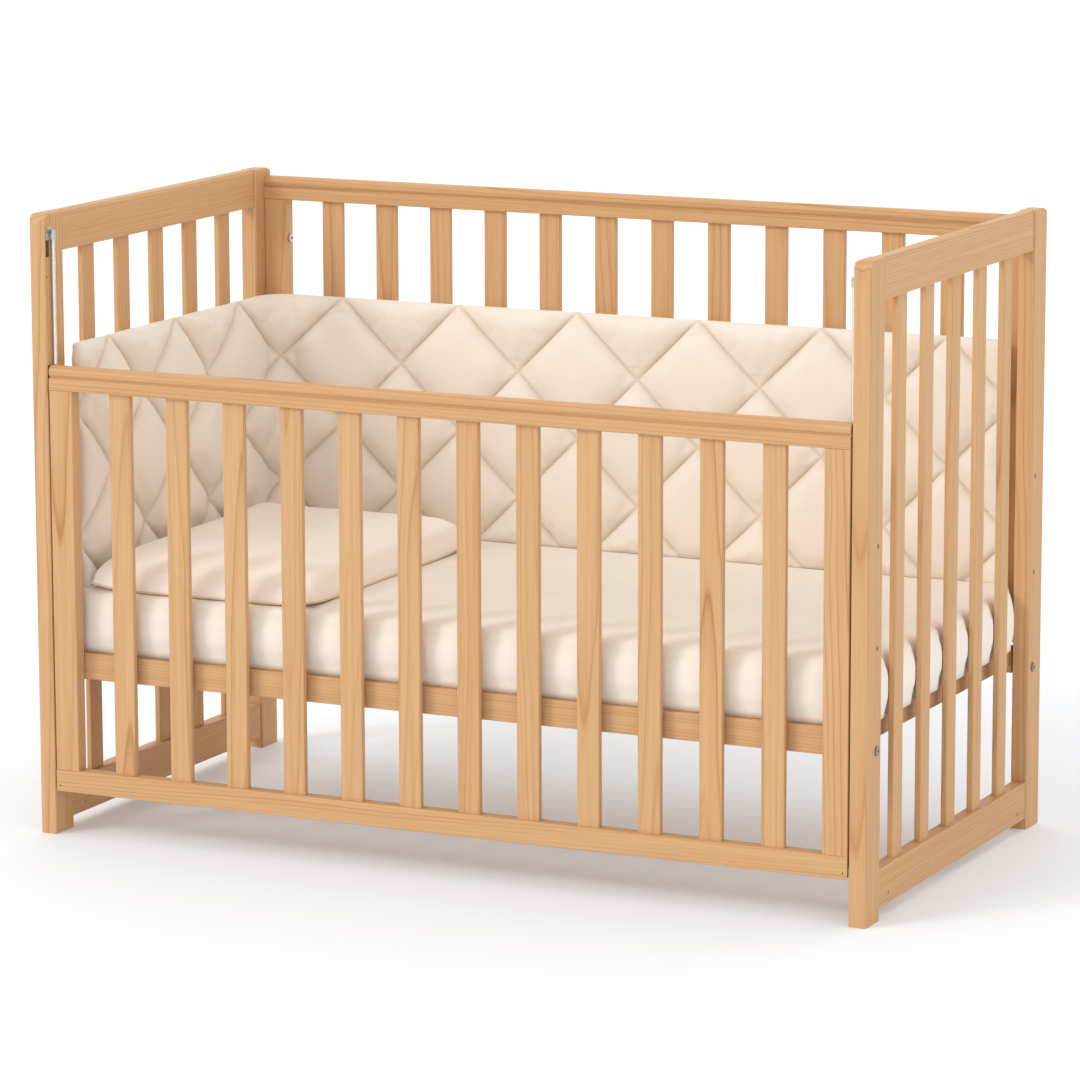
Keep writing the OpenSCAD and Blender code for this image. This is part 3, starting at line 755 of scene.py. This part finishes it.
def round_piping(name, loop, radius, material):
    """A closed round piping along a loop of points."""
    sides = 8
    loop = np.asarray(loop)
    ahead = np.roll(loop, -1, 0) - np.roll(loop, 1, 0)
    ahead /= np.linalg.norm(ahead, axis=1, keepdims=True)
    across = np.cross(ahead, (0, 0, 1))
    across /= np.linalg.norm(across, axis=1, keepdims=True)
    upward = np.cross(across, ahead)
    angles = np.arange(sides) * 2 * np.pi / sides
    rings = loop[:, None] + radius * (np.cos(angles)[None, :, None] * across[:, None]
                                      + np.sin(angles)[None, :, None] * upward[:, None])
    count = len(loop)
    faces = []
    for i in range(count):
        here, there = i * sides, (i + 1) % count * sides
        for j in range(sides):
            next_j = (j + 1) % sides
            faces.append([here + j, here + next_j, there + next_j, there + j])
    piece = new_piece(name, rings.reshape(-1, 3), faces, material)
    piece.data.polygons.foreach_set("use_smooth", [True] * len(faces))
    return piece


def make_pillow(material, shadow_piping_material):
    """A plump pillow with a piped seam round its edge, lying on the mattress against the bumper; the piping's darker
    gold is painted contact shadow along the seam.
    """
    low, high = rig.box("pillow")
    centre = (low + high) / 2
    turn = math.radians(1)
    length, width, height = 350 * MM, 486 * MM, high.z - low.z
    seam = 4 * MM                               # height of the seam above the mattress
    crown = (height - seam) * 1.04
    columns, rows = 50, 68
    # How far in from each edge the top goes on rising.
    roll = {"left": 70 * MM, "right": 110 * MM, "front": 180 * MM, "back": 60 * MM}

    def rising(distance, reach):
        """Height from 0 to 1 at a distance in from an edge: steep at first, then level beyond reach."""
        t = 1 - min(1.0, distance / reach)
        return (1 - t ** 2.6) ** 0.38

    def combined(p, q):
        """Two rises at once, as they meet at a well-stuffed corner."""
        return max(0.0, 1 - ((1 - p) ** 4 + (1 - q) ** 4) ** 0.25)

    def place(i, j, side):
        a, b = 2 * i / columns - 1, 2 * j / rows - 1
        # Points crowd towards the edge, where the surface is steepest.
        a, b = math.sin(a * math.pi / 2), math.sin(b * math.pi / 2)
        # Towards the back, the pillow spreads to the right and draws in on the left.
        spread = 1 + (0.06 if a > 0 else -0.035) * (b + 1) / 2
        # The corners stand out in front and are drawn in at the back; the sides pull in between them.
        corners = 1 + (0.02 if b < 0 else -0.015 if a > 0 else -0.045) * (a * a * b * b) ** 2
        x = a * (1 - 0.020 * (1 - b * b) * abs(a) ** 3) * spread * corners * length / 2
        y = b * (1 - 0.014 * (1 - a * a) * abs(b) ** 3) * (corners if b > 0 else 1) * width / 2
        left, right = (1 + a) * length / 2, (1 - a) * length / 2
        front, back = (1 + b) * width / 2, (1 - b) * width / 2
        plump = combined(rising(left, roll["left"]) * rising(right, roll["right"]),
                         rising(front, roll["front"]) * rising(back, roll["back"]))
        # The seam stands up a little at the corners and dips along the front.
        edge = seam + (8 * (a * a * b * b) ** 3 - 2 * max(0.0, -b) ** 8) * MM
        return x, y, edge + plump * (crown if side > 0 else -seam)

    points, faces, number = two_sheets(rows, columns, place, rim=False)
    piece = new_piece("plump_pillow", points, faces, material)
    rim = [n for (i, j, side), n in number.items() if side > 0 and (i in (0, columns) or j in (0, rows))]
    puff(piece, 1.4, 12, rim, cap=0.005, bending=0.8)
    co = points_of(piece)
    co[:, 2] = np.maximum(co[:, 2], 0.4 * MM)   # clear of the mattress
    c, s = math.cos(turn), math.sin(turn)
    x, y = co[:, 0] * c - co[:, 1] * s, co[:, 0] * s + co[:, 1] * c
    co = np.stack([x + centre.x, y + centre.y, co[:, 2] + low.z], 1)
    set_points(piece, co)
    loop = [co[number[i, j, 1]] for i, j in edge_loop(rows, columns)]
    # Painted shadow: the darker gold piping stands in for the contact shadow along the pillow's seam.
    piping = round_piping("pillow_piping", loop, 1.5 * MM, shadow_piping_material)
    finish_soft(piece)
    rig.replaces(piece, "pillow")
    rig.slot(piece, "pillow_fabric")
    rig.ride(piece, "pillow")
    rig.padded(piece, fill=0.75)
    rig.slot(piping, "pillow_fabric")
    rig.ride(piping, "pillow")


def divided_cube(name, counts, material):
    """A cube from -1 to 1, with each side divided into the given counts along x, y and z."""
    b = bmesh.new()
    bmesh.ops.create_cube(b, size=2)
    for axis in range(3):
        edges = [e for e in b.edges if abs((e.verts[0].co - e.verts[1].co)[axis]) > 1e-6
                 and sum(abs((e.verts[0].co - e.verts[1].co)[k]) > 1e-6 for k in range(3)) == 1]
        bmesh.ops.subdivide_edges(b, edges=edges, cuts=counts[axis] - 1, use_grid_fill=True)
    mesh = bpy.data.meshes.new(name)
    b.to_mesh(mesh)
    b.free()
    piece = bpy.data.objects.new(name, mesh)
    bpy.context.scene.collection.objects.link(piece)
    mesh.materials.append(material)
    return piece


def make_mattress(material):
    """The mattress in its fitted sheet: soft edges, a full front, and bulges between the end slats."""
    low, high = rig.box("mattress")
    centre, size = (low + high) / 2, high - low
    half = size / 2
    counts = [round(s / (step * MM)) for s, step in zip(size, (12, 6, 9))]
    piece = divided_cube("mattress_with_sheet", counts, material)
    co = points_of(piece) * np.array(half)

    def rounded(i, j, r, part):
        """Pushes the marked points onto corners of radius r in the plane of axes i and j."""
        over_i, over_j = np.abs(co[:, i]) - (half[i] - r), np.abs(co[:, j]) - (half[j] - r)
        at = (over_i > 0) & (over_j > 0) & part
        k = np.where(at, np.maximum(over_i, over_j) / np.maximum(np.hypot(over_i, over_j), 1e-9), 1)
        for axis, over in ((i, over_i), (j, over_j)):
            moved = np.sign(co[:, axis]) * (half[axis] - r + over * k)
            co[:, axis] = np.where(at, moved, co[:, axis])

    rounded(0, 1, 30 * MM, True)
    # The edges beside the bumper, at the left and the back, are tighter than the free ones.
    beside_bumper = (co[:, 0] < 0, co[:, 1] > 0)
    free_radius = (15 * MM, 9 * MM)             # at the right end and at the front
    for axis in (0, 1):
        above = co[:, 2] > 0
        rounded(axis, 2, 8 * MM, above & beside_bumper[axis])
        rounded(axis, 2, free_radius[axis], above & ~beside_bumper[axis])
        rounded(axis, 2, 3 * MM, ~above)
    set_points(piece, co + np.array(centre))
    puff(piece, 2.2, 12, cap=0.0025, bending=1.5)
    finish_soft(piece)

    # The front stands out a little between its top and bottom edges.
    co = points_of(piece)
    from_middle = np.abs(co[:, 2] - centre.z) / half.z
    level = np.clip(1 - from_middle ** 6, 0, 1)
    middle = np.clip((half.x - 0.05 - np.abs(co[:, 0] - centre.x)) / 0.08, 0, 1)
    front = np.clip((-co[:, 1] - half.y + 0.02) / 0.02, 0, 1)
    co[:, 1] -= 3 * MM * front * level * middle

    # The right end presses against the slats and bulges out between them.
    end_depth, slat_reach, bulge_range = 0.03, 0.0175, 0.279
    end = np.clip((co[:, 0] - (high.x - end_depth)) / end_depth, 0, 1)
    boxes = [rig.box(n) for n in sorted(NODES) if n.startswith("end_slat_right")]
    slats = [(box[0].y + box[1].y) / 2 for box in boxes]
    pitch = (slats[-1] - slats[0]) / (len(slats) - 1)
    from_slat = np.abs(((co[:, 1] - slats[0]) / pitch + 0.5) % 1 - 0.5) * pitch
    free = np.clip((from_slat - slat_reach) / (pitch / 2 - slat_reach), 0, 1)
    bulge = (1 + 7 * (1 - (1 - free) ** 7) ** 0.5) * MM
    upright = np.clip(1 - from_middle ** 14, 0, 1)
    inside = np.clip((bulge_range - np.abs(co[:, 1])) / 0.02, 0, 1)
    co[:, 0] += end ** 0.8 * upright ** 0.5 * bulge * inside
    # The underside lies flat on the base's slats, out to its edges.
    co[:, 2] = np.where(co[:, 2] < low.z + 7 * MM, low.z, co[:, 2])
    set_points(piece, co)
    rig.replaces(piece, "mattress")
    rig.slot(piece, "sheet_fabric")
    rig.ride(piece, "mattress")
    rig.padded(piece, fill=0.9)


# ---- Put it together ----

add_camera()
add_studio()
dress_wood()
dress_steel()
make_mattress(fabric_material("sheet_cotton", (243, 233, 221)))
# The bumper's material paints shade along its stitched creases.
make_bumper(fabric_material("quilted_cotton", (240, 229, 216), seams=True))
# The piping's darker gold colour is painted contact shadow.
make_pillow(fabric_material("pillow_cotton", (250, 239, 227)),
            fabric_material("piping_cotton", (222, 198, 164)))

with open("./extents.json", "w") as out:
    json.dump({"cad": [list(c) for c in CAD_BOX], "visual": [list(c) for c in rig.bounds()]}, out)
